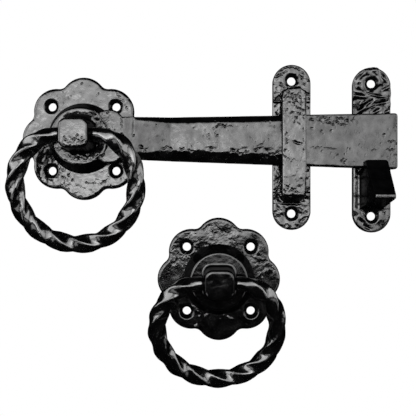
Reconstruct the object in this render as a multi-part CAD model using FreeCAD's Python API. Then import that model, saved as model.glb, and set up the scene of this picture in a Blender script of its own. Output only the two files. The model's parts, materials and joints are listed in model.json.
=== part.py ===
# Ring gate latch: a fall bar turned by a twisted ring on a lobed rose, its staple guide and catch,
# and the second ring handle that works the bar from the other side of the gate.
#
# Every piece is drawn lying on its back: x along the bar, y up the gate, z out from the gate face.
# It is then stood up, so that in the finished frame +X runs along the bar, +Z is up and -Y faces out.
# The origin is on the gate face, on the turning axis of the latch handle. All sizes are millimetres.

import FreeCAD, Part
import math
import os

from FreeCAD import Vector

# Where the pieces sit, measured from the turning axis of the latch handle
staple_x = 118.7
bar_past_catch = 12.5
bar_lift_room = 10.7
outside_x = 77.0
outside_y = -80.0

# Rose: the lobed back plate of each handle
rose_lobes = 8
rose_radius = 35.0
rose_valley_radius = 31.2
rose_valley_round = 5.0
rose_thickness = 5.0
rose_edge_round = 1.5
rose_screw_spacing = 36.6

# Screw holes, the same in every plate
screw_hole_radius = 2.4
countersink_radius = 4.3

# Hub: the tapered boss under each knob
hub_base_radius = 20.2
hub_top_radius = 16.0
hub_height = 12.7
hub_edge_round = 1.0
running_gap = 0.3

# Knob: the square head that carries the ring, with a round tail that turns in the rose
knob_width = 15.8
knob_foot_width = 17.2
knob_height = 20.5
knob_corner_round = 4.4
knob_face_round = 1.4
ring_axis_rise = 11.0
tang_width = 14.0
tang_clearance = 0.05
journal_radius = 7.0
journal_clearance = 0.08
peened_rim_width = 1.6
peened_rim_thickness = 0.8
peened_rim_setback = 0.2

# Washer behind each rose
washer_radius = 12.0
washer_thickness = 1.6
washer_recess_margin = 1.0

# Spindle: the square bar fixed in the second handle, and the socket in the latch handle that it drives
spindle_width = 8.0
spindle_length = 105.0
spindle_end_chamfer = 1.0
socket_clearance = 0.05
socket_depth = 16.0
socket_end_gap = 0.5

# Ring: a square bar twisted along its length and bent round, its two ends turned down to pintles
ring_radius = 33.0
ring_shoulder_bend = 22.2
ring_side_set = 1.3
ring_bar_half_width = 4.3
ring_shoulder_radius = 3.7
ring_taper_length = 14.0
ring_twist_turns = 3.4
ring_stations_per_turn = 11
ring_side_gap = 0.5
ring_gate_gap = 0.3
latch_ring_lean = 13.0
pintle_radius = 3.2
pintle_clearance = 0.08
pintle_end_gap = 3.0

# Latch bar: its shoulder beside the hub, the crank down to the blade, and the blade's bevelled edges
bar_length = 177.0
bar_thickness = 6.0
bar_root_half_width = 11.6
bar_end_half_width = 15.7
bar_set_down = 0.4
bar_droop = 0.55
bar_front_height = 12.5
bar_corner_round = 1.5
shoulder_end_x = 23.4
shoulder_length = 14.0
shoulder_half_width = 14.8
shoulder_corner_round = 6.0
shoulder_set_down = 0.6
shoulder_thickness = 7.5
crank_middle_x = 30.0
crank_middle_rise = 3.9
crank_end_x = 50.0
bevel_start_share = 0.5
bevel_run_out = 10.0
upper_bevel_width = 3.6
upper_bevel_depth = 2.0
lower_bevel_width = 6.0
lower_bevel_depth = 2.6

# Plate shared by the staple and the catch
plate_width = 21.8
plate_length = 94.6
plate_thickness = 3.5
plate_edge_round = 1.0
plate_screw_spacing = 76.0

# Staple: the bridge over the bar and the shallow step in the plate under it
bridge_width = 13.2
bridge_length = 64.2
bridge_thickness = 3.7
bridge_leg = 4.0
bridge_lower_slope = 3.7
bridge_corner_round = 1.2
bridge_end_round = 5.5
bridge_inside_round = 2.0
bar_front_gap = 0.8
staple_step = 0.8
staple_step_length = 52.0

# Catch: the notch that the bar drops into, its lip and the slope that lifts the bar over it
hook_foot_width = 13.5
hook_tip_width = 10.9
hook_notch_y = -11.6
hook_lip_rise = 5.2
hook_lip_thickness = 2.2
hook_slope_drop = 19.6
hook_projection = 36.0
hook_tip_thickness = 2.2
hook_underside_drop = 5.4
hook_edge_round = 0.7
hook_corner_round = 1.5
bar_rest_gap = 0.3

# How far a cutting shape runs past what it cuts
overrun = 2.0

# Levels above the gate face that several pieces share
hub_base_level = rose_thickness + running_gap
hub_top_level = hub_base_level + hub_height
knob_face_level = hub_top_level + knob_height
ring_axis_level = hub_top_level + ring_axis_rise
washer_level = peened_rim_setback + peened_rim_thickness
washer_recess_depth = washer_level + washer_thickness + running_gap
bar_back_level = bar_front_height - bar_thickness
shoulder_level = hub_top_level - shoulder_set_down
crank_middle_level = bar_front_height + crank_middle_rise
bridge_inside_level = bar_front_height + bar_front_gap
ring_shoulder_x = knob_foot_width / 2 + ring_side_gap


def prism(wire, base, height):
    face = Part.Face(wire)
    face.translate(Vector(0, 0, base))
    return face.extrude(Vector(0, 0, height))


def polygon(points):
    return Part.makePolygon(points + points[:1])


def cylinder(radius, base, height, x=0, y=0):
    return Part.makeCylinder(radius, height, Vector(x, y, base))


def square_block(width, base, height):
    return Part.makeBox(width, width, height, Vector(-width / 2, -width / 2, base))


def rounded_rectangle(width, length, corner, level=0, x=0):
    # A rectangle with four corner arcs, centred on the x axis
    inset_x = width / 2 - corner
    inset_y = length / 2 - corner
    signs = [(1, 1), (-1, 1), (-1, -1), (1, -1)]
    arcs = []
    for quarter, (sign_x, sign_y) in enumerate(signs):
        centre = Vector(x + sign_x * inset_x, sign_y * inset_y, level)
        start = 90 * quarter
        arcs.append(Part.makeCircle(corner, centre, Vector(0, 0, 1), start, start + 90))
    edges = []
    for arc, following in zip(arcs, arcs[1:] + arcs[:1]):
        edges.append(arc)
        straight = [arc.lastVertex().Point, following.firstVertex().Point]
        if straight[0].distanceToPoint(straight[1]) > 1e-6:
            edges.append(Part.makeLine(*straight))
    return Part.Wire(edges)


def edges_at_level(shape, level):
    return [
        edge
        for edge in shape.Edges
        if abs(edge.BoundBox.ZMin - level) < 1e-4 and abs(edge.BoundBox.ZMax - level) < 1e-4
    ]


def screw_hole(x, y, face_level):
    # A clear hole through a plate with a right-angled countersink at its face
    sink_depth = countersink_radius - screw_hole_radius
    sink_base = Vector(x, y, face_level - sink_depth)
    hole = cylinder(screw_hole_radius, -overrun, face_level + 2 * overrun, x, y)
    sink = Part.makeCone(screw_hole_radius, countersink_radius, sink_depth, sink_base)
    return hole.fuse([sink, cylinder(countersink_radius, face_level, overrun, x, y)])


def lobed_outline():
    # Lobe arcs and valley arcs that meet tangentially all round the rose
    half_pitch = math.pi / rose_lobes
    valley_centre = rose_valley_radius + rose_valley_round
    reach = rose_radius + rose_valley_round
    lobe_centre = (reach**2 - valley_centre**2) / (2 * (reach - valley_centre * math.cos(half_pitch)))
    lobe_round = rose_radius - lobe_centre

    def at(radius, angle):
        return Vector(radius * math.cos(angle), radius * math.sin(angle), 0)

    def junction(lobe_angle, valley_angle):
        lobe = at(lobe_centre, lobe_angle)
        valley = at(valley_centre, valley_angle)
        return lobe + (valley - lobe) * (lobe_round / (lobe_round + rose_valley_round))

    edges = []
    for lobe in range(rose_lobes):
        angle = 2 * half_pitch * lobe
        valley_angle = angle + half_pitch
        before = junction(angle, angle - half_pitch)
        after = junction(angle, valley_angle)
        beyond = junction(valley_angle + half_pitch, valley_angle)
        edges.append(Part.Arc(before, at(rose_radius, angle), after).toShape())
        edges.append(Part.Arc(after, at(rose_valley_radius, valley_angle), beyond).toShape())
    return Part.Wire(edges)


def make_rose():
    rose = prism(lobed_outline(), 0, rose_thickness)
    rose = rose.makeFillet(rose_edge_round, edges_at_level(rose, rose_thickness))
    half = rose_screw_spacing / 2
    cuts = [screw_hole(x, y, rose_thickness) for x in (-half, half) for y in (-half, half)]
    cuts.append(cylinder(journal_radius + journal_clearance, -overrun, rose_thickness + 2 * overrun))
    cuts.append(cylinder(washer_radius + washer_recess_margin, -overrun, washer_recess_depth + overrun))
    return rose.cut(cuts)


def make_washer():
    washer = cylinder(washer_radius, washer_level, washer_thickness)
    return washer.cut(cylinder(journal_radius + journal_clearance, -overrun, rose_thickness + overrun))


def make_hub():
    hub = Part.makeCone(hub_base_radius, hub_top_radius, hub_height, Vector(0, 0, hub_base_level))
    return hub.makeFillet(hub_edge_round, edges_at_level(hub, hub_top_level))


def make_knob_head():
    foot = rounded_rectangle(knob_foot_width, knob_foot_width, knob_corner_round, hub_top_level)
    face = rounded_rectangle(knob_width, knob_width, knob_corner_round, knob_face_level)
    head = Part.makeLoft([foot, face], True, True)
    head = head.makeFillet(knob_face_round, edges_at_level(head, knob_face_level))
    hole_start = Vector(-knob_foot_width, 0, ring_axis_level)
    hole_radius = pintle_radius + pintle_clearance
    return head.cut(Part.makeCylinder(hole_radius, 2 * knob_foot_width, hole_start, Vector(1, 0, 0)))


def make_journal():
    # The round tail that turns in the rose, peened over its washer
    journal = cylinder(journal_radius, washer_level, hub_base_level - washer_level)
    return journal.fuse(cylinder(journal_radius + peened_rim_width, peened_rim_setback, peened_rim_thickness))


def make_socket():
    return square_block(spindle_width + 2 * socket_clearance, -overrun, socket_depth + overrun)


def make_latch_knob():
    tang = square_block(tang_width, hub_base_level, hub_height)
    knob = make_knob_head().fuse([tang, make_journal()])
    return knob.cut(make_socket()).removeSplitter()


def make_outside_knob():
    knob = make_knob_head().fuse([make_hub(), make_journal()])
    return knob.cut(make_socket()).removeSplitter()


def make_spindle():
    inner_end = socket_depth - socket_end_gap
    outer_end = inner_end - spindle_length
    spindle = square_block(spindle_width, outer_end, spindle_length)
    return spindle.makeChamfer(spindle_end_chamfer, edges_at_level(spindle, outer_end))


def ring_bend_angle():
    # Where the small bend beside the knob runs into the large bend of the ring
    return math.asin(ring_shoulder_x / (ring_radius - ring_shoulder_bend))


def ring_centre_y():
    bend = ring_bend_angle()
    return -ring_shoulder_bend * (1 - math.cos(bend)) - ring_radius * math.cos(bend)


def ring_half_length():
    bend = ring_bend_angle()
    return ring_shoulder_bend * bend + ring_radius * (math.pi - bend)


def ring_place(length):
    # Point and direction of the centreline at a length along one side of the ring, from the knob out
    bend = ring_bend_angle()
    bend_length = ring_shoulder_bend * bend
    if length < bend_length:
        angle = length / ring_shoulder_bend
        x = ring_shoulder_x + ring_shoulder_bend * math.sin(angle)
        y = -ring_shoulder_bend * (1 - math.cos(angle))
    else:
        angle = bend + (length - bend_length) / ring_radius
        x = ring_radius * math.sin(angle)
        y = ring_centre_y() + ring_radius * math.cos(angle)
    return Vector(x, y, 0), Vector(math.cos(angle), -math.sin(angle), 0)


def ring_control_point(share, column):
    # One of the eight control points round the bar at a share of the ring's length: mid-sides and
    # corners of the twisted square by turns, drawn in to a round section at the ring's two ends
    half_length = ring_half_length()
    length = 2 * half_length * min(share, 1 - share)
    centre, along = ring_place(length)
    if share > 0.5:
        centre.x = -centre.x
        along.y = -along.y
    depth = min(1.0, centre.y / ring_centre_y())
    centre.x -= ring_side_set * depth * depth * (3 - 2 * depth)
    ramp = min(1.0, length / ring_taper_length)
    taper = ramp * ramp * (3 - 2 * ramp)
    size = ring_shoulder_radius + (ring_bar_half_width - ring_shoulder_radius) * taper
    round_reach = 1 / math.cos(math.pi / 8)
    square_reach = math.sqrt(2) if column % 2 else 1.0
    reach = size * (round_reach + (square_reach - round_reach) * taper)
    angle = 2 * math.pi * ring_twist_turns * (share - 0.5) + column * math.pi / 4
    out = Vector(0, 0, 1)
    return centre + out.cross(along) * (reach * math.cos(angle)) + out * (reach * math.sin(angle))


def make_twisted_bar():
    # A smooth curve along each column of control points, and soft corners across the columns
    stations = math.ceil(ring_twist_turns * ring_stations_per_turn)
    shares = [station / stations for station in range(stations + 1)]
    curves = []
    for column in range(8):
        curve = Part.BSplineCurve()
        points = [ring_control_point(share, column) for share in shares]
        curve.interpolate(Points=points, Parameters=shares)
        curves.append(curve)
    skin = Part.BSplineSurface()
    skin.buildFromPolesMultsKnots(
        [curve.getPoles() for curve in curves],
        [1] * (len(curves) + 1),
        curves[0].getMultiplicities(),
        list(range(len(curves) + 1)),
        curves[0].getKnots(),
        True,
        False,
        2,
        curves[0].Degree,
    )
    side = skin.toShape()
    ends = [Part.Face(Part.Wire(edge)) for edge in side.Edges if edge.isClosed()]
    shell = Part.makeShell([side] + ends)
    shell.sewShape()
    return Part.makeSolid(shell)


def make_ring():
    inner_x = pintle_end_gap / 2
    pintle_length = ring_shoulder_x - inner_x + ring_shoulder_radius / 2
    pintles = [
        Part.makeCylinder(pintle_radius, pintle_length, Vector(side * inner_x, 0, 0), Vector(side, 0, 0))
        for side in (-1, 1)
    ]
    return make_twisted_bar().fuse(pintles)


def lean_against_gate():
    # The lean at which the free end of a ring lies back against the gate, in degrees: the bar's soft
    # corners reach seven eighths as far as sharp ones would
    corner_reach = ring_bar_half_width * math.sqrt(2) * 7 / 8
    fall = ring_axis_level - corner_reach - ring_gate_gap
    return math.degrees(math.asin(fall / (ring_radius - ring_centre_y())))


def hang_ring(ring, lean):
    hung = ring.copy()
    hung.rotate(Vector(0, 0, 0), Vector(1, 0, 0), lean)
    hung.translate(Vector(0, 0, ring_axis_level))
    return hung


def bar_edge_y(x, side):
    # Upper (side 1) or lower (side -1) edge of the blade at a distance along the bar
    share = (x - shoulder_end_x) / (bar_length - shoulder_end_x)
    half_width = bar_root_half_width + (bar_end_half_width - bar_root_half_width) * share
    return side * half_width - bar_set_down - x * math.tan(math.radians(bar_droop))


def make_bar_plan():
    # The tapered blade and the rounded shoulder, seen from the front
    root_low = bar_edge_y(shoulder_end_x, -1)
    root_high = bar_edge_y(shoulder_end_x, 1)
    blade = polygon(
        [
            Vector(0, root_low, 0),
            Vector(shoulder_end_x, root_low, 0),
            Vector(bar_length, bar_edge_y(bar_length, -1), 0),
            Vector(bar_length, bar_edge_y(bar_length, 1), 0),
            Vector(shoulder_end_x, root_high, 0),
            Vector(0, root_high, 0),
        ]
    )
    blade = prism(blade, 0, hub_top_level)
    corners = [
        edge
        for edge in blade.Edges
        if edge.BoundBox.ZLength > bar_thickness and edge.BoundBox.XMin > shoulder_end_x + overrun
    ]
    blade = blade.makeFillet(bar_corner_round, corners)
    shoulder_x = shoulder_end_x - shoulder_length / 2
    outline = rounded_rectangle(shoulder_length, 2 * shoulder_half_width, shoulder_corner_round, x=shoulder_x)
    return blade.fuse(prism(outline, 0, hub_top_level))


def make_bar_side():
    # The shoulder, the crank and the blade, seen from above and drawn out across the bar
    reach = 2 * max(shoulder_half_width, bar_end_half_width)
    shoulder_back = shoulder_level - shoulder_thickness
    side_view = [
        Vector(0, -reach, shoulder_back),
        Vector(shoulder_end_x, -reach, shoulder_back),
        Vector(crank_end_x, -reach, bar_back_level),
        Vector(bar_length, -reach, bar_back_level),
        Vector(bar_length, -reach, bar_front_height),
        Vector(crank_end_x, -reach, bar_front_height),
        Vector(crank_middle_x, -reach, crank_middle_level),
        Vector(shoulder_end_x, -reach, shoulder_level),
        Vector(0, -reach, shoulder_level),
    ]
    return Part.Face(polygon(side_view)).extrude(Vector(0, 2 * reach, 0))


def make_bevel_cut(side, bevel_width, bevel_depth):
    # A long wedge along one front edge of the blade, from the crease of the crank to under the bridge
    slope = bevel_depth / bevel_width
    bevel_end_x = staple_x + bridge_width / 2

    def wedge(x, front_level, share):
        edge_y = bar_edge_y(x, side)
        low_level = front_level - bevel_depth * share - slope * overrun
        high_level = front_level + slope * overrun
        outer_y = edge_y + side * overrun
        inner_y = edge_y - side * (bevel_width * share + overrun)
        corners = [
            Vector(x, outer_y, low_level),
            Vector(x, inner_y, high_level),
            Vector(x, outer_y, high_level),
        ]
        return polygon(corners)

    wedges = [
        wedge(crank_middle_x, crank_middle_level, bevel_start_share),
        wedge(crank_end_x, bar_front_height, 1),
        wedge(bevel_end_x - bevel_run_out, bar_front_height, 1),
        wedge(bevel_end_x, bar_front_height, 0),
    ]
    return Part.makeLoft(wedges, True, True)


def make_latch_bar():
    blade = make_bar_plan().common(make_bar_side())
    upper_cut = make_bevel_cut(1, upper_bevel_width, upper_bevel_depth)
    lower_cut = make_bevel_cut(-1, lower_bevel_width, lower_bevel_depth)
    blade = blade.cut([upper_cut, lower_cut])
    bar = make_hub().fuse(blade).removeSplitter()
    return bar.cut(square_block(tang_width + 2 * tang_clearance, 0, knob_face_level))


def make_plate():
    plate = prism(rounded_rectangle(plate_width, plate_length, plate_width / 2), 0, plate_thickness)
    plate = plate.makeFillet(plate_edge_round, edges_at_level(plate, plate_thickness))
    half = plate_screw_spacing / 2
    return plate.cut([screw_hole(0, y, plate_thickness) for y in (-half, half)])


def make_staple():
    # A bridge over the bar, cast with its plate: its arched side view, trimmed to its round-ended plan
    top_level = bridge_inside_level + bridge_thickness
    inside_length = bridge_length - 2 * bridge_leg
    end_y = bridge_length / 2
    left = -bridge_width / 2
    outside = [
        Vector(left, -end_y, 0),
        Vector(left, bridge_lower_slope - end_y, top_level),
        Vector(left, end_y, top_level),
        Vector(left, end_y, 0),
    ]
    arch = Part.Face(polygon(outside)).extrude(Vector(bridge_width, 0, 0))
    ends = [edge for edge in edges_at_level(arch, top_level) if edge.BoundBox.YLength < 1e-4]
    arch = arch.makeFillet(bridge_corner_round, ends)
    inside = prism(
        rounded_rectangle(2 * bridge_inside_level, inside_length, bridge_inside_round), left, bridge_width
    )
    inside.rotate(Vector(0, 0, 0), Vector(0, 1, 0), -90)
    arch = arch.cut(inside)
    plan = rounded_rectangle(bridge_width, bridge_length, bridge_end_round)
    bridge = arch.common(prism(plan, plate_thickness / 2, top_level))
    step_width = plate_width + 2 * overrun
    step_corner = Vector(-step_width / 2, -staple_step_length / 2, plate_thickness - staple_step)
    step = Part.makeBox(step_width, staple_step_length, staple_step + overrun, step_corner)
    return make_plate().cut(step).fuse(bridge).removeSplitter()


def make_catch():
    # The bar rides up the slope, drops behind the lip and rests on the floor of the notch
    lip_y = hook_notch_y + hook_lip_rise
    tip_y = lip_y - hook_slope_drop
    tip_under_y = tip_y - hook_tip_thickness
    foot_y = tip_under_y - hook_underside_drop
    lip_level = bridge_inside_level + hook_lip_thickness
    left = -hook_foot_width / 2
    side_view = [
        Vector(left, foot_y, plate_thickness / 2),
        Vector(left, hook_notch_y, plate_thickness / 2),
        Vector(left, hook_notch_y, bridge_inside_level),
        Vector(left, lip_y, bridge_inside_level),
        Vector(left, lip_y, lip_level),
        Vector(left, tip_y, hook_projection),
        Vector(left, tip_under_y, hook_projection),
        Vector(left, foot_y, plate_thickness),
    ]
    hook = Part.Face(polygon(side_view)).extrude(Vector(hook_foot_width, 0, 0))
    front_view = [
        Vector(left, foot_y, 0),
        Vector(left, foot_y, plate_thickness),
        Vector(-hook_tip_width / 2, foot_y, hook_projection),
        Vector(hook_tip_width / 2, foot_y, hook_projection),
        Vector(-left, foot_y, plate_thickness),
        Vector(-left, foot_y, 0),
    ]
    hook = hook.common(Part.Face(polygon(front_view)).extrude(Vector(0, lip_y - foot_y, 0)))
    lip_corners = [
        edge
        for edge in hook.Edges
        if edge.BoundBox.YMin > lip_y - 1e-4 and edge.BoundBox.ZLength > hook_lip_thickness / 2
    ]
    hook = hook.makeFillet(hook_corner_round, lip_corners)
    slope_edges = [edge for edge in hook.Edges if edge.BoundBox.ZMin > lip_level - 1e-4]
    hook = hook.makeFillet(hook_edge_round, slope_edges)
    return make_plate().fuse(hook).removeSplitter()


def stand(shape, x=0, y=0):
    # From lying on its back to standing on the gate
    standing = shape.copy()
    standing.translate(Vector(x, y, 0))
    standing.rotate(Vector(0, 0, 0), Vector(1, 0, 0), 90)
    return standing


def main():
    staple_y = bar_edge_y(staple_x, 1) + bar_lift_room - (bridge_length / 2 - bridge_leg)
    catch_x = bar_length - bar_past_catch
    catch_y = bar_edge_y(catch_x + hook_foot_width / 2, -1) - bar_rest_gap - hook_notch_y
    rose = make_rose()
    washer = make_washer()
    ring = make_ring()
    pieces = {
        "inside_rose": stand(rose),
        "inside_washer": stand(washer),
        "inside_knob": stand(make_latch_knob()),
        "inside_ring": stand(hang_ring(ring, latch_ring_lean)),
        "latch_bar": stand(make_latch_bar()),
        "staple": stand(make_staple(), staple_x, staple_y),
        "catch": stand(make_catch(), catch_x, catch_y),
        "outside_rose": stand(rose, outside_x, outside_y),
        "outside_washer": stand(washer, outside_x, outside_y),
        "outside_knob": stand(make_outside_knob(), outside_x, outside_y),
        "outside_ring": stand(hang_ring(ring, lean_against_gate()), outside_x, outside_y),
        "spindle": stand(make_spindle(), outside_x, outside_y),
    }
    os.makedirs("parts", exist_ok=True)
    for name, shape in pieces.items():
        shape.exportStep(os.path.join("parts", name + ".step"))
        print(f"{name}: {len(shape.Solids)} solid, valid {shape.isValid()}, {shape.Volume / 1000:.2f} cm3")
    print(f"staple at {staple_x:.2f}, {staple_y:.2f}; catch at {catch_x:.2f}, {catch_y:.2f}")
    print(f"outside ring leans {lean_against_gate():.2f} degrees")


main()
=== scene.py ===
import json
import math

import bpy
import numpy as np
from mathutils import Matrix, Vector

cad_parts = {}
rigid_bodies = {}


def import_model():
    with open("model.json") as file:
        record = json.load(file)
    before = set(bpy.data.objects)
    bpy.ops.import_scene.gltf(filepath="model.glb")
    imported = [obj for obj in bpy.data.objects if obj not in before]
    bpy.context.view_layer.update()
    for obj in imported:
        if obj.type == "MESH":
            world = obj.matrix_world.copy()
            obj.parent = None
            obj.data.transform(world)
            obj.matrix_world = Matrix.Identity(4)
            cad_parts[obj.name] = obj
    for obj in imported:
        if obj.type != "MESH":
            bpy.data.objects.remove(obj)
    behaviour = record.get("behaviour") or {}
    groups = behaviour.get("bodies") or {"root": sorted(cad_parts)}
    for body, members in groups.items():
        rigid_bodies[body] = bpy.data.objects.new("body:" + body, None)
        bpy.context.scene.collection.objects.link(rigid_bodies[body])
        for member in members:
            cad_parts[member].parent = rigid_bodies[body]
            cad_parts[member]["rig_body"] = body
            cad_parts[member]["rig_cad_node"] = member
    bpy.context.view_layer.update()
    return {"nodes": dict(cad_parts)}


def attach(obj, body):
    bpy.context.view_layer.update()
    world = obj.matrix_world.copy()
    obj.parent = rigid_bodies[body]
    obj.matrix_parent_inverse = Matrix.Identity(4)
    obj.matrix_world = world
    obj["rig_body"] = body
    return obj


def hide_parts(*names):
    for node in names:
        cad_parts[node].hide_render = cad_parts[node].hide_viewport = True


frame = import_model()
mm = 0.001
print("frame loaded:", len(frame["nodes"]), "nodes")


class Wire:
    # one output socket; sums written on it become Math nodes
    def __init__(self, tree, socket=None):
        self.tree = tree
        self.socket = socket

    def node(self, kind, settings=None, inputs=None, output=0):
        made = self.tree.nodes.new(kind)
        for name, value in (settings or {}).items():
            if name == "stops":
                ramp = made.color_ramp.elements
                while len(ramp) < len(value):
                    ramp.new(0.5)
                for stop, (place, grey) in zip(ramp, value):
                    stop.position = place
                    stop.color = (grey, grey, grey, 1)
            else:
                setattr(made, name, value)
        for name, value in (inputs or {}).items():
            if isinstance(value, Wire):
                self.tree.links.new(value.socket, made.inputs[name])
            else:
                made.inputs[name].default_value = value
        return Wire(self.tree, made.outputs[output] if len(made.outputs) else None)

    def maths(self, operation, first, second):
        return self.node("ShaderNodeMath", {"operation": operation}, {0: first, 1: second})

    def __add__(self, other):
        return self.maths("ADD", self, other)

    def __radd__(self, other):
        return self.maths("ADD", other, self)

    def __sub__(self, other):
        return self.maths("SUBTRACT", self, other)

    def __rsub__(self, other):
        return self.maths("SUBTRACT", other, self)

    def __mul__(self, other):
        return self.maths("MULTIPLY", self, other)

    def __rmul__(self, other):
        return self.maths("MULTIPLY", other, self)


def newMaterial(name):
    material = bpy.data.materials.new(name)
    material.use_nodes = True
    material.node_tree.nodes.clear()
    return material, Wire(material.node_tree)


def millimetres(wire):
    place = wire.node("ShaderNodeTexCoord", output="Object")
    return wire.node("ShaderNodeVectorMath", {"operation": "SCALE"}, {0: place, "Scale": 1000.0})


def noise(wire, place, size, detail, stops):
    made = wire.node("ShaderNodeTexNoise", None, {"Vector": place, "Scale": 1 / size, "Detail": detail})
    return wire.node("ShaderNodeValToRGB", {"stops": stops}, {"Fac": made})


def blackLacquer(name, look):
    material, wire = newMaterial(name)
    place = millimetres(wire)
    grain = noise(wire, place, look["grainSize"], 3.0, [(0.30, 0.0), (0.70, 1.0)])
    ripple = noise(wire, place, look["rippleSize"], 2.0, [(0.25, 0.0), (0.75, 1.0)])
    patch = noise(wire, place, look["patchSize"], 4.0, [(0.34, 0.0), (0.66, 1.0)])
    drift = wire.node(
        "ShaderNodeTexNoise",
        None,
        {"Vector": place, "Scale": look["pitDrift"], "Detail": 1.0},
        output="Color",
    )
    warped = wire.node("ShaderNodeVectorMath", {"operation": "ADD"}, {0: place, 1: drift})
    turned = wire.node(
        "ShaderNodeMapping",
        None,
        {"Vector": warped, "Rotation": (0, look["pitTurn"], 0), "Scale": look["pitStretch"]},
    )
    cell = wire.node("ShaderNodeTexVoronoi", None, {"Vector": turned, "Scale": 1 / look["pitSize"]})
    pits = wire.node("ShaderNodeValToRGB", {"stops": [(0.10, 1.0), (0.30, 0.0)]}, {"Fac": cell})
    clusterStops = [(look["pitFrom"], 0.0), (look["pitFrom"] + 0.1, 1.0)]
    pits = pits * noise(wire, place, look["pitCluster"], 2.0, clusterStops)
    height = grain * look["grainDepth"] + ripple * look["rippleDepth"] - pits * look["pitDepth"]
    bump = wire.node("ShaderNodeBump", None, {"Height": height, "Strength": 1.0, "Distance": mm})
    colour = wire.node(
        "ShaderNodeMix",
        {"data_type": "RGBA"},
        {0: patch, 6: look["lacquer"], 7: look["thinLacquer"]},
        output=2,
    )
    roughness = look["roughness"] + patch * look["roughnessSpread"] + pits * look["pitRoughness"]
    coats = []
    for shine in (look["shine"] * (1 - look["shineSpread"]), look["shine"] * (1 + look["shineSpread"])):
        sockets = {"Base Color": colour, "Roughness": roughness, "Specular IOR Level": shine, "Normal": bump}
        sockets.update({"Coat Weight": look["coat"], "Coat Roughness": look["roughness"]})
        coats.append(wire.node("ShaderNodeBsdfPrincipled", None, sockets))
    shader = wire.node("ShaderNodeMixShader", None, {0: patch, 1: coats[0], 2: coats[1]})
    # painted shade: faces turned away from the front lose their shine and are mixed towards matte black
    normal = wire.node("ShaderNodeTexCoord", output="Normal")
    inward = wire.node("ShaderNodeSeparateXYZ", None, {"Vector": normal}, output="Y")
    steepStops = [(look["sideFrom"], 0.0), (look["sideFull"], 1.0)]
    paintedShadeMask = wire.node("ShaderNodeValToRGB", {"stops": steepStops}, {"Fac": 1 + inward})
    dull = wire.node(
        "ShaderNodeBsdfPrincipled",
        None,
        {"Base Color": colour, "Roughness": look["sideRoughness"], "Specular IOR Level": 0.0, "Normal": bump},
    )
    shader = wire.node("ShaderNodeMixShader", None, {0: paintedShadeMask * look["sideDull"], 1: shader, 2: dull})
    wire.node("ShaderNodeOutputMaterial", None, {"Surface": shader})
    return material


def zincPlate(name, look):
    material, wire = newMaterial(name)
    place = millimetres(wire)
    stretched = wire.node("ShaderNodeMapping", None, {"Vector": place, "Scale": look["brushStretch"]})
    brush = noise(wire, stretched, look["brushSize"], 2.0, [(0.3, 0.0), (0.7, 1.0)])
    bloom = noise(wire, place, look["bloomSize"], 3.0, [(0.4, 0.0), (0.7, 1.0)])
    colour = wire.node(
        "ShaderNodeMix", {"data_type": "RGBA"}, {0: bloom, 6: look["bright"], 7: look["dull"]}, output=2
    )
    bump = wire.node(
        "ShaderNodeBump", None, {"Height": brush * look["brushDepth"], "Strength": 1.0, "Distance": mm}
    )
    shader = wire.node(
        "ShaderNodeBsdfPrincipled",
        None,
        {
            "Base Color": colour,
            "Metallic": 1.0,
            "Roughness": look["roughness"] + bloom * look["roughnessSpread"],
            "Normal": bump,
        },
    )
    wire.node("ShaderNodeOutputMaterial", None, {"Surface": shader})
    return material


castingLook = {
    "lacquer": (0.0006, 0.0006, 0.0007, 1),
    "thinLacquer": (0.002, 0.002, 0.0021, 1),
    "roughness": 0.10,
    "roughnessSpread": 0.05,
    "shine": 0.70,
    "shineSpread": 0.2,
    "coat": 0.0,
    # painted shade: how much of the steep sides' shine is swapped for matte black
    "sideDull": 0.85,
    "sideFrom": 0.10,
    "sideFull": 0.30,
    "sideRoughness": 0.4,
    "grainSize": 0.6,
    "grainDepth": 0.010,
    "rippleSize": 2.4,
    "rippleDepth": 0.05,
    "patchSize": 5.0,
    "pitSize": 2.2,
    "pitStretch": (1.0, 1.0, 0.6),
    "pitTurn": 0.6,
    "pitDrift": 0.9,
    "pitFrom": 0.52,
    "pitCluster": 8.0,
    "pitDepth": 0.12,
    "pitRoughness": 0.1,
}
# how each casting differs from that
outsideLook = {"shine": 0.74, "rippleDepth": 0.025, "roughness": 0.09}
knobLook = {"shine": 0.62, "rippleDepth": 0.012, "grainDepth": 0.004, "pitFrom": 0.70}
knobLook.update({"roughness": 0.08, "roughnessSpread": 0.02})
stapleLook = {"shine": 0.92, "pitFrom": 0.47, "rippleDepth": 0.06}
ringLook = {"shine": 0.95, "coat": 0.7, "sideDull": 0.0, "pitFrom": 0.60}
ringLook.update({"roughness": 0.13, "rippleDepth": 0.03})
roseLacquer = blackLacquer("roseLacquer", dict(castingLook, shine=0.84))
outsideLacquer = blackLacquer("outsideLacquer", dict(castingLook, **outsideLook))
knobLacquer = blackLacquer("knobLacquer", dict(castingLook, **knobLook))
barLacquer = blackLacquer("barLacquer", castingLook)
stapleLacquer = blackLacquer("stapleLacquer", dict(castingLook, **stapleLook))
catchLacquer = blackLacquer("catchLacquer", dict(castingLook, shine=0.82))
ringLacquer = blackLacquer("ringLacquer", dict(castingLook, **ringLook))

plateLook = {
    "bright": (0.60, 0.61, 0.62, 1),
    "dull": (0.42, 0.43, 0.45, 1),
    "roughness": 0.28,
    "roughnessSpread": 0.16,
    "bloomSize": 6.0,
    "brushStretch": (1.0, 0.06, 1.0),
    "brushSize": 0.35,
    "brushDepth": 0.02,
}
plated = zincPlate("zincPlate", plateLook)
for name in ("inside_washer", "outside_washer", "spindle"):
    slots = frame["nodes"][name].data.materials
    slots.clear()
    slots.append(plated)
print("lacquer and plate ready")


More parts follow.
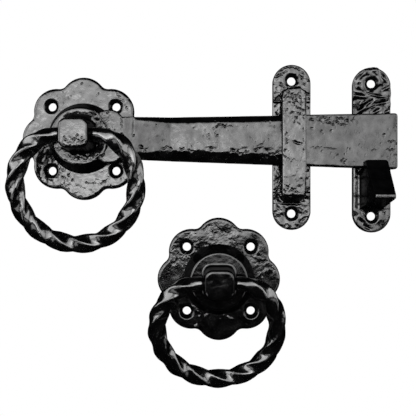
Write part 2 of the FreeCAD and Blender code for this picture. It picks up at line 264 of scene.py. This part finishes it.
def castCopy(name, node, voxel, smoothing):
    # a fresh skin over one casting, fine enough to take its hammer marks
    source = frame["nodes"][node]
    bpy.ops.object.select_all(action="DESELECT")
    source.select_set(True)
    bpy.context.view_layer.objects.active = source
    bpy.ops.object.duplicate()
    piece = bpy.context.view_layer.objects.active
    piece.name = name
    piece.data.name = name
    bpy.ops.object.parent_clear(type="CLEAR_KEEP_TRANSFORM")
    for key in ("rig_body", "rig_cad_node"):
        del piece[key]
    piece.data.materials.clear()
    bpy.ops.object.mode_set(mode="EDIT")
    bpy.ops.mesh.select_all(action="SELECT")
    bpy.ops.mesh.remove_doubles(threshold=0.000001)
    bpy.ops.object.mode_set(mode="OBJECT")
    remesh = piece.modifiers.new("skin", "REMESH")
    remesh.mode = "VOXEL"
    remesh.voxel_size = voxel * mm
    remesh.use_smooth_shade = True
    smooth = piece.modifiers.new("soften", "SMOOTH")
    smooth.factor = 0.5
    smooth.iterations = smoothing
    for modifier in ("skin", "soften"):
        bpy.ops.object.modifier_apply(modifier=modifier)
    return piece


def readMesh(piece):
    count = len(piece.data.vertices)
    points = np.empty(count * 3)
    normals = np.empty(count * 3, np.float32)
    piece.data.vertices.foreach_get("co", points)
    piece.data.vertex_normals.foreach_get("vector", normals)
    return points.reshape(-1, 3) / mm, normals.reshape(-1, 3).astype(float)


def zoneGroup(piece, name, zone, facing):
    # weights of the faces that look outwards, fading at the zone's edges
    # a zone is its x, z, half sizes and fade, in mm
    points, normals = readMesh(piece)
    weight = np.clip((-normals[:, 1] - facing) / 0.25, 0, 1)
    if zone:
        x, z, halfX, halfZ, fade = zone
        past = np.maximum(np.abs(points[:, 0] - x) - halfX, np.abs(points[:, 2] - z) - halfZ)
        weight *= np.clip(1 - past / fade, 0, 1)
    group = piece.vertex_groups.new(name=name)
    steps = np.round(weight * 10).astype(int)
    for step in range(1, 11):
        chosen = np.nonzero(steps == step)[0].tolist()
        if chosen:
            group.add(chosen, step / 10, "REPLACE")
    return group


def roughen(piece, layers):
    # each layer moves the surface in and out by one procedural texture
    bpy.context.view_layer.objects.active = piece
    for count, layer in enumerate(layers):
        texture = bpy.data.textures.new(piece.name + str(count), "CLOUDS")
        texture.noise_scale = layer["size"] * mm
        texture.noise_depth = layer.get("octaves", 2)
        group = zoneGroup(piece, "zone" + str(count), layer.get("zone"), layer.get("facing", 0.35))
        displace = piece.modifiers.new("roughen", "DISPLACE")
        displace.texture = texture
        displace.texture_coords = "LOCAL"
        displace.strength = layer["depth"] * mm
        displace.vertex_group = group.name
        bpy.ops.object.modifier_apply(modifier="roughen")
    piece.vertex_groups.clear()


# edges of the hammer blows: small ones are ragged, wide ones nearly clean
blow = {
    "smallLength": 4,
    "smallWidth": 0.7,
    "smallRagged": 0.32,
    "wideRagged": 0.06,
    "reach": 4,
    "falloff": 1.5,
    "facing": 0.3,
}


def blowReach(points, mark):
    x, z, halfLong, halfWide, turn = mark[:5]
    angle = math.radians(turn)
    small = halfWide < blow["smallWidth"] and halfLong < blow["smallLength"]
    ragged = blow["smallRagged"] if small else blow["wideRagged"]
    right, up = points[:, 0], points[:, 2]
    atX = right - x + ragged * np.sin(2.3 * up + x) + 0.4 * ragged * np.sin(5.9 * up)
    atZ = up - z + ragged * np.sin(2.6 * right + z) + 0.4 * ragged * np.sin(6.7 * right)
    along = atX * math.cos(angle) + atZ * math.sin(angle)
    across = atZ * math.cos(angle) - atX * math.sin(angle)
    return (along / halfLong) ** 2 + (across / halfWide) ** 2


def strike(piece, marks):
    # a mark is its x, z, half length, half width, turn in degrees and depth into the casting, in mm
    faces = len(piece.data.polygons)
    centres = np.empty(faces * 3, np.float32)
    facing = np.empty(faces * 3, np.float32)
    piece.data.polygons.foreach_get("center", centres)
    piece.data.polygons.foreach_get("normal", facing)
    centres = centres.reshape(-1, 3) / mm
    outwards = facing.reshape(-1, 3)[:, 1] < -blow["facing"]
    struck = np.zeros(faces, bool)
    for mark in marks:
        struck |= outwards & (blowReach(centres, mark) < blow["reach"])
    bpy.ops.object.mode_set(mode="EDIT")
    bpy.ops.mesh.select_all(action="DESELECT")
    bpy.ops.object.mode_set(mode="OBJECT")
    piece.data.polygons.foreach_set("select", struck)
    bpy.ops.object.mode_set(mode="EDIT")
    bpy.ops.mesh.select_mode(type="FACE")
    bpy.ops.mesh.subdivide(number_cuts=1)
    bpy.ops.object.mode_set(mode="OBJECT")
    points, normals = readMesh(piece)
    front = np.clip((-normals[:, 1] - blow["facing"]) / blow["facing"], 0, 1)
    for mark in marks:
        depth = mark[-1]
        points[:, 1] += depth * front * np.exp(-blow["falloff"] * blowReach(points, mark))
    piece.data.vertices.foreach_set("co", (points * mm).ravel())
    piece.data.update()


def finishPiece(piece, body, node, material):
    piece.data.materials.append(material)
    bpy.ops.object.select_all(action="DESELECT")
    piece.select_set(True)
    bpy.context.view_layer.objects.active = piece
    bpy.ops.object.shade_smooth()
    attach(piece, body)
    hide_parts(node)
    print(piece.name, "ready:", sum(len(face.vertices) - 2 for face in piece.data.polygons), "triangles")


def castPiece(name, node, body, material, make):
    piece = castCopy(name, node, make["voxel"], make["smoothing"])
    roughen(piece, make["layers"])
    if "marks" in make:
        strike(piece, make["marks"])
    finishPiece(piece, body, node, material)


# eight-lobed rose behind the bar's handle
insideRose = {
    "voxel": 0.5,
    "smoothing": 1,
    "layers": [
        {"size": 9.0, "depth": 0.8},
        {"size": 3.0, "depth": 0.12},
        {"size": 2.0, "depth": 0.45, "zone": (22, 22, 4, 4, 3)},
        {"size": 1.8, "depth": 0.4, "zone": (-15, -20, 7, 3, 3)},
    ],
    "marks": [
        (-0.8, 31.4, 0.7, 0.40, -50, 0.35), (-28.4, 10.7, 0.6, 0.46, 0, 0.4),
        (8.3, 25.6, 0.5, 0.34, 0, 0.3), (-31.7, 8.3, 0.9, 0.80, 0, -0.25),
        (-21.2, -16.7, 6.3, 2.05, 82, 1.3), (-22.3, -6.5, 1.7, 0.68, 60, 0.3),
        (-12.0, -17.7, 1.8, 0.46, -35, 0.35), (-8.4, -20.6, 1.3, 0.51, 40, 0.4),
        (-6.2, -23.8, 0.6, 0.51, 0, 0.4), (1.8, -25.3, 0.8, 0.46, -30, 0.35),
        (19.6, 24.9, 1.7, 0.57, -60, 0.35), (22.4, 21.4, 1.4, 0.51, -40, 0.35),
        (24.7, 17.5, 1.4, 0.57, -70, 0.3), (16.7, 27.7, 0.9, 0.46, 20, 0.3),
        (-15.2, -21.3, 1.7, 0.51, 25, 0.3), (-11.2, -22.1, 1.3, 0.46, 0, 0.3),
        (11.6, -24.7, 2.8, 0.51, 30, 0.25), (-20.9, 26.3, 1.3, 0.57, 20, 0.3),
    ],
}
castPiece("insideRoseCast", "inside_rose", "fixed_plates", roseLacquer, insideRose)

# the rose of the outside handle, hammered all over
outsideRose = {
    "voxel": 0.5,
    "smoothing": 1,
    "layers": [
        {"size": 9.0, "depth": 0.25},
        {"size": 8.0, "depth": 0.45, "zone": (70, -58, 24, 8, 6), "octaves": 0},
        {"size": 2.0, "depth": 0.09, "zone": (72, -57, 27, 8, 6)},
        {"size": 1.0, "depth": 0.13, "zone": (64, -62, 22, 12, 6)},
        {"size": 2.2, "depth": 0.14, "zone": (102, -72, 6, 7, 3)},
    ],
    "marks": [
        (69.1, -51.5, 1.7, 0.51, 30, 0.35), (74.3, -53.7, 1.4, 0.57, -35, 0.4),
        (78.8, -52.6, 2.0, 0.63, -25, 0.45), (85.7, -49.8, 1.7, 0.63, -60, 0.5),
        (89.1, -52.6, 1.7, 0.51, -40, 0.4), (53.8, -55.4, 0.7, 0.57, 0, 0.4),
        (63.4, -59.4, 2.3, 0.51, 35, 0.35), (58.3, -65.7, 1.7, 0.46, 40, 0.35),
        (52.1, -70.3, 2.0, 0.57, 50, 0.4), (84.5, -57.7, 1.7, 0.46, -20, 0.3),
        (101.6, -70.3, 3.4, 0.57, 10, 0.5), (102.7, -76.0, 2.3, 0.68, 35, -0.4),
        (99.3, -68.0, 2.8, 0.68, -20, -0.35), (107.3, -73.7, 1.7, 0.51, -60, 0.4),
        (63.4, -96.5, 2.8, 0.46, -45, -0.35), (83.4, -102.2, 1.3, 0.46, -30, -0.4),
        (64.0, -106.7, 0.9, 0.68, 0, -0.35), (69.7, -101.0, 1.4, 0.46, 40, -0.3),
    ],
}
castPiece("outsideRoseCast", "outside_rose", "fixed_plates", outsideLacquer, outsideRose)

# square knob through the bar's hub
insideKnob = {
    "voxel": 0.45,
    "smoothing": 2,
    "layers": [
        {"size": 5.0, "depth": 0.3},
        {"size": 1.3, "depth": 0.5, "zone": (1, -4.4, 6, 1.8, 1.5)},
    ],
    "marks": [
        (-3.4, -3.9, 1.2, 0.42, 35, 0.35), (-1.3, -2.1, 0.8, 0.42, -20, 0.3),
        (1.0, -3.7, 1.0, 0.47, 60, 0.4), (3.4, -4.7, 0.9, 0.42, -30, 0.35),
        (6.0, -4.5, 0.9, 0.47, 45, 0.4), (-1.1, -5.3, 0.9, 0.37, 0, 0.35),
        (2.3, -1.6, 0.8, 0.37, 30, 0.3), (4.7, -2.6, 0.7, 0.42, 0, 0.3),
        (-4.2, -2.4, 0.6, 0.42, 60, 0.3),
    ],
}
castPiece("insideKnobCast", "inside_knob", "latch", roseLacquer, insideKnob)

# knob and hub of the outside handle in one
outsideKnob = {
    "voxel": 0.45,
    "smoothing": 2,
    "layers": [
        {"size": 6.0, "depth": 0.1},
        {"size": 1.8, "depth": 0.03},
    ],
}
castPiece("outsideKnobCast", "outside_knob", "outside_handle", knobLacquer, outsideKnob)

# the bar with its hub and shoulder
latchBar = {
    "voxel": 0.55,
    "smoothing": 2,
    "layers": [
        {"size": 14.0, "depth": 0.7},
        {"size": 4.0, "depth": 0.15},
        {"size": 5.0, "depth": 0.9, "zone": (72, -9.5, 45, 2.5, 2)},
        {"size": 9.0, "depth": 0.6, "zone": (72, 9, 45, 2, 2)},
        {"size": 2.2, "depth": 0.5, "zone": (141, 9.6, 14, 2.2, 1.5)},
        {"size": 1.8, "depth": 0.5, "zone": (14, 8, 4, 5, 2)},
        {"size": 1.8, "depth": 0.5, "zone": (2, -11.5, 11, 1.8, 1.5)},
    ],
    "marks": [
        (76.2, 6.3, 0.9, 0.56, 40, 0.7), (79.7, 6.3, 1.3, 0.56, -30, 0.7),
        (77.6, 7.4, 1.0, 0.45, 20, 0.5), (76.0, 0.9, 1.3, 0.50, -10, 0.25),
        (34.0, -5.7, 1.4, 0.89, -30, 0.6), (36.7, -7.1, 1.1, 0.67, 50, 0.5),
        (46.8, -6.0, 1.7, 0.67, 20, 0.5), (50.2, -6.8, 1.4, 0.67, -40, 0.5),
        (56.3, -6.5, 1.7, 0.67, 10, 0.4), (60.8, -7.4, 1.7, 0.56, -20, 0.5),
        (72.5, -6.5, 0.8, 1.23, 0, 0.6), (84.8, -7.4, 1.7, 0.67, 20, 0.5),
        (88.2, -8.8, 1.5, 0.61, -30, 0.5), (92.1, -8.2, 1.7, 0.56, 15, 0.5),
        (98.2, -6.8, 1.7, 0.67, 25, 0.6), (100.5, -4.0, 2.8, 0.45, 30, 0.25),
        (107.2, -9.3, 1.7, 0.56, 0, 0.6), (23.1, 7.5, 3.4, 0.34, 90, 0.5),
        (29.5, 6.3, 4.5, 0.34, 88, 0.45), (29.6, 0.8, 0.7, 0.56, 0, 0.5),
        (12.7, 8.6, 1.7, 0.50, -40, 0.5), (14.4, 6.3, 1.5, 0.50, -50, 0.5),
        (11.0, 10.5, 1.2, 0.45, -30, 0.45), (15.8, 13.3, 0.9, 0.45, 10, 0.4),
        (16.1, 4.1, 1.1, 0.50, -60, 0.4), (23.3, 1.0, 0.9, 0.56, 0, 0.5),
        (129.0, 10.0, 2.2, 0.45, 10, 0.35), (133.5, 9.4, 1.7, 0.50, -20, 0.45),
        (137.9, 9.7, 1.7, 0.56, 35, 0.5), (139.6, 7.7, 2.2, 0.45, -25, 0.5),
        (143.0, 8.9, 1.7, 0.50, 20, 0.5), (145.8, 7.2, 2.5, 0.45, -10, 0.5),
        (148.6, 9.4, 1.7, 0.50, 15, 0.45), (151.4, 9.8, 1.7, 0.45, 40, 0.4),
        (144.6, 10.5, 2.8, 0.45, 0, 0.5), (135.7, 11.2, 3.4, 0.50, 0, 0.4),
        (129.0, 4.9, 1.2, 1.12, 0, 0.22), (134.3, 3.5, 0.9, 0.84, 0, 0.22),
        (139.6, 3.5, 0.8, 0.78, 0, 0.22), (131.2, -5.7, 3.9, 0.28, 0, 0.22),
        (139.6, -6.3, 4.5, 0.28, -6, 0.22), (145.9, -12.7, 1.0, 0.56, 60, 0.45),
        (147.2, -14.1, 0.8, 0.50, -30, 0.4), (143.5, -10.1, 0.7, 0.39, 0, 0.3),
        (147.2, -9.3, 0.7, 0.39, 40, 0.3), (169.2, 1.3, 0.9, 0.78, 0, 0.3),
        (173.2, -2.3, 2.2, 0.39, 5, 0.45), (173.2, -6.9, 2.6, 0.39, 2, 0.45),
        (163.7, -7.1, 2.2, 0.28, 0, 0.2), (176.2, -4.3, 0.7, 1.68, 0, 0.5),
        (176.2, 5.2, 0.6, 1.40, 0, 0.3), (176.2, -10.4, 0.6, 1.12, 0, 0.35),
        (0.9, 7.0, 10.0, 4.6, -6, 2.4), (0.9, -4.5, 10.2, 5.2, 0, 2.7),
        (9.0, 11.5, 3.2, 3.00, -45, 1.4), (-2.0, -11.1, 1.7, 0.50, 20, 0.4),
        (1.3, -11.6, 1.4, 0.50, -30, 0.4), (-5.3, -10.3, 1.3, 0.44, -30, 0.4),
        (4.6, -10.3, 1.4, 0.50, 30, 0.4), (10.2, -11.9, 1.7, 0.61, 50, 0.45),
        (12.9, -10.5, 1.4, 0.55, 30, 0.45),
    ],
}
castPiece("latchBarCast", "latch_bar", "latch", barLacquer, latchBar)

# the staple that the bar lifts in
staple = {
    "voxel": 0.42,
    "smoothing": 1,
    "layers": [
        {"size": 6.0, "depth": 0.45},
        {"size": 2.2, "depth": 0.1},
        {"size": 3.0, "depth": 0.35, "zone": (118.7, 33, 12, 12, 3)},
        {"size": 3.0, "depth": 0.3, "zone": (118.7, -46, 12, 8, 3)},
        {"size": 1.5, "depth": 0.25, "zone": (118.7, 18, 7, 9, 3)},
    ],
    "marks": [
        (125.3, 17.5, 7.0, 0.65, 90, 1.4), (110.8, 23.8, 3.4, 0.45, 45, 1.2),
        (115.4, 27.8, 2.9, 0.60, 36, 1.4), (120.2, 29.3, 2.4, 0.55, -4, 1.3),
        (124.2, 27.9, 2.4, 0.72, -34, 1.4), (118.7, -34.8, 7.4, 1.60, 0, 1.7),
        (118.7, -37.0, 6.6, 0.75, 0, 0.9), (110.9, -32.6, 2.2, 1.20, -72, 1.5),
        (125.5, -31.5, 2.6, 0.90, 70, 1.4), (125.3, -27.0, 6.0, 0.60, 90, 1.2),
        (116.2, 24.1, 1.9, 0.50, -35, 0.45), (120.0, 23.2, 1.4, 0.50, 20, 0.45),
        (122.0, 21.6, 1.2, 0.55, -40, 0.5), (113.7, 22.4, 1.1, 0.50, 10, 0.5),
        (117.3, 21.6, 1.4, 0.44, 0, 0.45), (119.8, 19.9, 1.4, 0.55, -20, 0.5),
        (115.9, 19.1, 1.1, 0.44, 30, 0.4), (122.3, 18.3, 1.0, 0.50, 60, 0.5),
        (118.7, 17.7, 1.1, 0.44, -35, 0.4), (121.1, 15.8, 1.7, 0.44, -25, 0.5),
        (123.4, 14.7, 1.3, 0.44, -30, 0.5), (117.3, 13.3, 1.4, 0.50, 0, 0.5),
        (121.7, 12.7, 1.3, 0.50, 10, 0.5), (114.5, 14.9, 1.1, 0.44, 45, 0.35),
        (119.5, 10.5, 1.2, 0.50, 20, 0.45), (123.4, 10.8, 1.0, 0.44, -50, 0.45),
        (121.1, 7.5, 1.2, 0.39, -50, 0.35), (118.4, 8.3, 0.9, 0.39, 30, 0.35),
        (114.0, 1.7, 0.9, 0.44, 60, 0.45), (114.2, -1.6, 0.8, 0.50, 0, 0.5),
        (114.1, -3.6, 0.8, 0.50, 40, 0.45), (120.3, -3.6, 2.5, 0.77, -18, 0.55),
        (113.7, -8.0, 0.9, 0.44, 50, 0.45), (113.3, -10.8, 1.0, 0.39, -40, 0.4),
        (115.1, -12.4, 1.2, 0.33, -55, 0.35), (123.6, 3.6, 0.4, 1.11, 0, 0.4),
        (123.7, -1.9, 0.4, 0.88, 0, 0.4), (123.6, -8.0, 0.4, 1.11, 0, 0.4),
        (115.1, -27.9, 1.2, 0.55, 50, 0.55), (117.3, -29.6, 1.7, 0.55, 25, 0.5),
        (121.7, -27.3, 1.4, 0.50, 20, 0.5), (113.4, -29.8, 1.0, 0.50, -40, 0.5),
        (119.5, -30.7, 1.7, 0.50, -20, 0.5), (112.6, 39.1, 1.7, 0.51, 40, 0.5),
        (117.7, 41.2, 2.3, 0.51, 5, 0.5), (114.6, 38.0, 1.7, 0.46, 10, 0.45),
        (122.0, 40.3, 2.0, 0.57, -25, 0.5), (110.6, 36.0, 1.7, 0.74, 35, 0.7),
        (113.2, 36.5, 1.3, 0.46, -20, 0.4), (125.2, 37.4, 1.4, 0.51, -35, 0.5),
        (128.0, 33.7, 1.3, 0.51, -30, 0.5), (124.0, 35.4, 1.7, 0.63, -40, 0.6),
        (112.9, 30.8, 2.1, 0.63, -45, 0.7), (125.7, 31.4, 0.9, 0.69, 0, 0.5),
        (109.4, 26.5, 1.1, 0.46, 0, 0.4), (110.3, 29.4, 0.9, 0.40, 60, 0.4),
        (127.7, 25.7, 1.5, 0.74, 0, 0.6), (110.0, 22.2, 2.9, 0.46, 22, 0.55),
        (128.6, 22.8, 1.4, 0.57, 0, 0.6), (109.7, 19.1, 0.8, 0.57, 0, 0.4),
        (128.0, 17.7, 0.9, 0.69, 30, 0.45), (110.6, 14.8, 0.9, 0.46, 0, 0.5),
        (110.9, -23.5, 0.8, 0.46, 60, 0.4), (127.5, -18.3, 1.3, 0.51, 50, 0.5),
        (128.0, -22.3, 0.9, 0.51, 0, 0.45), (109.7, -28.9, 1.7, 0.51, 0, 0.5),
        (127.2, -28.9, 2.0, 0.57, 0, 0.55), (111.2, -39.8, 1.7, 0.91, -60, 0.45),
        (125.5, -38.4, 1.7, 0.46, 0, 0.4), (110.9, -44.1, 1.8, 0.57, 12, 0.6),
        (124.6, -40.6, 1.3, 0.51, 20, 0.4), (125.5, -45.8, 2.0, 0.80, 35, 0.7),
        (114.6, -50.1, 1.7, 0.57, 40, 0.6), (122.3, -50.1, 1.6, 0.63, -40, 0.6),
        (124.0, -47.8, 1.7, 0.46, -45, 0.6), (126.9, -41.8, 0.9, 0.46, 0, 0.4),
        (118.0, -36.9, 2.9, 0.46, 0, 0.4), (121.7, -37.5, 1.7, 0.46, -10, 0.4),
    ],
}
castPiece("stapleCast", "staple", "fixed_plates", stapleLacquer, staple)

# the hooked catch on the post
catch = {
    "voxel": 0.42,
    "smoothing": 1,
    "layers": [
        {"size": 7.0, "depth": 0.5},
        {"size": 2.5, "depth": 0.08},
        {"size": 5.0, "depth": 1.6, "octaves": 0, "zone": (164.5, 26, 11, 14, 3)},
        {"size": 4.0, "depth": 0.35, "octaves": 0, "zone": (164.5, -46, 11, 8, 3)},
    ],
    "marks": [
        (158.6, 36.0, 3.6, 1.50, 42, 1.0), (157.0, 30.5, 1.8, 1.30, 70, 0.8),
        (164.5, 40.6, 4.2, 1.10, 2, 0.8), (171.2, 35.2, 3.4, 1.30, -52, 0.9),
        (157.6, 24.6, 3.2, 1.90, -14, 1.3), (162.6, 20.6, 3.6, 1.20, 38, 1.0),
        (167.6, 24.6, 3.4, 0.90, -10, 0.9), (172.2, 28.6, 2.4, 1.10, 30, 0.8),
        (169.4, 20.4, 4.0, 1.10, 14, 1.0), (158.2, 16.4, 3.0, 1.20, 34, 0.9),
        (166.2, 15.2, 3.2, 1.10, 30, 0.9), (172.8, 15.4, 1.8, 1.10, 40, 0.8),
        (163.6, 26.2, 1.8, 0.70, 16, -0.5), (164.6, 18.0, 2.6, 0.80, 30, -0.6),
        (170.6, 23.0, 2.4, 0.70, 8, -0.5), (159.4, 20.6, 2.0, 0.70, 30, -0.5),
        (160.6, -42.4, 1.7, 2.63, 30, 0.9), (158.3, -47.5, 1.5, 2.40, 35, 0.8),
        (161.5, -50.6, 2.3, 0.86, -30, 0.8), (171.5, -42.4, 0.9, 0.69, 0, 0.4),
        (157.2, -18.3, 1.5, 2.29, 0, 0.8), (155.8, -22.3, 1.1, 0.69, 0, 0.5),
    ],
}
castPiece("catchCast", "catch", "fixed_plates", catchLacquer, catch)

# the two twisted rings
ring = {
    "voxel": 0.45,
    "smoothing": 1,
    "layers": [{"size": 6.0, "depth": 0.5, "facing": -1.3}],
}
for side in ("inside", "outside"):
    castPiece(side + "RingCast", side + "_ring", side + "_pull", ringLacquer, ring)

# floor, flags, lamps, white surround and camera
studio = {
    "middle": 0.07,
    "floorLevel": -0.30,
    "floorRadius": 0.42,
    "lamps": [
        ("softboxWide", (0.05, -1.00, 0.177), (1.30, 0.504), 4.15),
        ("softboxTop", (0.00, -1.00, 0.535), (1.20, 0.21), 1.9),
        ("softboxLeftFoot", (-0.33, -1.00, -0.10), (0.56, 0.05), 0.18),
        ("softboxHubFoot", (0.0975, -1.00, -0.112), (0.115, 0.045), 0.032),
        ("softboxRightFoot", (0.46, -1.00, -0.10), (0.48, 0.05), 0.15),
        ("softboxMiddle", (0.00, -0.98, 0.140), (0.95, 0.44), 1.5),
        ("softboxInner", (-0.08, -0.96, 0.130), (0.60, 0.34), 0.7),
        ("softboxLow", (-0.15, -0.94, 0.0), (0.40, 0.12), 0.48),
        ("stripLeft", (-0.95, -0.70, 0.30), (0.85, 0.9), 8.6),
        ("stripRight", (1.09, -0.70, 0.30), (0.85, 0.9), 7.2),
        ("stripFarLeft", (-1.20, -0.22, 0.20), (0.40, 0.9), 3.2),
        ("stripFarRight", (1.34, -0.22, 0.20), (0.40, 0.9), 1.8),
        ("groundLeft", (-0.40, -0.58, -0.28), (0.48, 0.50), 1.1),
        ("groundRight", (0.56, -0.58, -0.28), (0.48, 0.50), 0.75),
    ],
    "ambient": 0.12,
    "flagReach": 1.5,
    "flagBack": 0.5,
    "flagFront": -1.25,
    "cameraPlace": (0.07085, -0.410, -0.0395),
    "fieldOfView": 32.6,
}


def stageMaterial(name, colour, spread, size):
    material, wire = newMaterial(name)
    cloud = noise(wire, millimetres(wire), size, 2.0, [(0.3, 0.0), (0.7, 1.0)])
    tone = wire.node(
        "ShaderNodeMix",
        {"data_type": "RGBA"},
        {0: cloud, 6: (colour, colour, colour, 1), 7: (colour + spread, colour + spread, colour + spread, 1)},
        output=2,
    )
    shader = wire.node(
        "ShaderNodeBsdfPrincipled",
        None,
        {"Base Color": tone, "Roughness": 1.0, "Specular IOR Level": 0.0},
    )
    wire.node("ShaderNodeOutputMaterial", None, {"Surface": shader})
    return material


bpy.ops.object.select_all(action="DESELECT")
bpy.ops.mesh.primitive_cylinder_add(
    vertices=96,
    radius=studio["floorRadius"],
    depth=0.01,
    location=(studio["middle"], 0, studio["floorLevel"] - 0.005),
)
floor = bpy.context.object
floor.name = "floor"
floor.data.materials.append(stageMaterial("paleFloor", 0.80, 0.03, 60.0))

# black cloth round the set and behind it, seen only in the shine of the lacquer
blackCloth = stageMaterial("blackCloth", 0.0, 0.004, 90.0)


def hideCloth(cloth):
    cloth.data.materials.append(blackCloth)
    cloth.visible_camera = False
    cloth.visible_shadow = False
    cloth.visible_diffuse = False
    cloth.visible_transmission = False


bpy.ops.object.select_all(action="DESELECT")
bpy.ops.mesh.primitive_cube_add(size=1)
flags = bpy.context.object
flags.name = "flags"
flags.dimensions = (
    2 * studio["flagReach"],
    studio["flagBack"] - studio["flagFront"],
    2 * studio["flagReach"],
)
flags.location = (
    studio["middle"],
    (studio["flagBack"] + studio["flagFront"]) / 2,
    studio["floorLevel"] + 0.01 + studio["flagReach"],
)
bpy.ops.object.transform_apply(location=True, rotation=False, scale=True)
bpy.ops.object.mode_set(mode="EDIT")
bpy.ops.mesh.select_mode(type="FACE")
bpy.ops.mesh.select_all(action="DESELECT")
bpy.ops.object.mode_set(mode="OBJECT")
for face in flags.data.polygons:
    face.select = face.normal.y > 0.9
bpy.ops.object.mode_set(mode="EDIT")
bpy.ops.mesh.delete(type="FACE")
bpy.ops.object.mode_set(mode="OBJECT")
hideCloth(flags)

bpy.ops.object.select_all(action="DESELECT")
bpy.ops.mesh.primitive_plane_add(
    size=2, location=(studio["middle"], -0.001, -0.04), rotation=(math.radians(90), 0, 0)
)
gateCloth = bpy.context.object
gateCloth.name = "gateCloth"
bpy.ops.object.transform_apply(location=True, rotation=True, scale=True)
hideCloth(gateCloth)

world = bpy.data.worlds.new("whiteSurround")
bpy.context.scene.world = world
world.use_nodes = True
world.node_tree.nodes.clear()
wire = Wire(world.node_tree)
seen = wire.node("ShaderNodeLightPath", output="Is Camera Ray")
glossy = wire.node("ShaderNodeLightPath", output="Is Glossy Ray")
through = wire.node("ShaderNodeLightPath", output="Is Transmission Ray")
shown = wire.maths("MAXIMUM", wire.maths("MAXIMUM", seen, glossy), through)
strength = studio["ambient"] + shown * (1 - studio["ambient"])
background = wire.node("ShaderNodeBackground", None, {"Color": (1, 1, 1, 1), "Strength": strength})
wire.node("ShaderNodeOutputWorld", None, {"Surface": background})


def addLamp(name, place, size, power, aim):
    lamp = bpy.data.lights.new(name, "AREA")
    lamp.shape = "RECTANGLE"
    lamp.size, lamp.size_y = size
    lamp.energy = power
    thing = bpy.data.objects.new(name, lamp)
    bpy.context.scene.collection.objects.link(thing)
    thing.visible_camera = False
    thing.location = place
    thing.rotation_euler = (Vector(aim) - Vector(place)).to_track_quat("-Z", "Y").to_euler()


for name, place, size, power in studio["lamps"]:
    aim = (place[0], 0, place[2])
    if "strip" in name:
        aim = (studio["middle"], 0, place[2])
    elif "ground" in name:
        aim = (place[0], place[1], 0)
    addLamp(name, place, size, power, aim)

camera = bpy.data.objects.new("camera", bpy.data.cameras.new("camera"))
bpy.context.scene.collection.objects.link(camera)
camera.location = studio["cameraPlace"]
camera.rotation_euler = (math.radians(90), 0, 0)
camera.data.sensor_width = 36
camera.data.lens = 18 / math.tan(math.radians(studio["fieldOfView"] / 2))
camera.data.clip_start = 0.01
bpy.context.scene.camera = camera
bpy.context.scene.view_settings.view_transform = "Standard"
print("stage set")
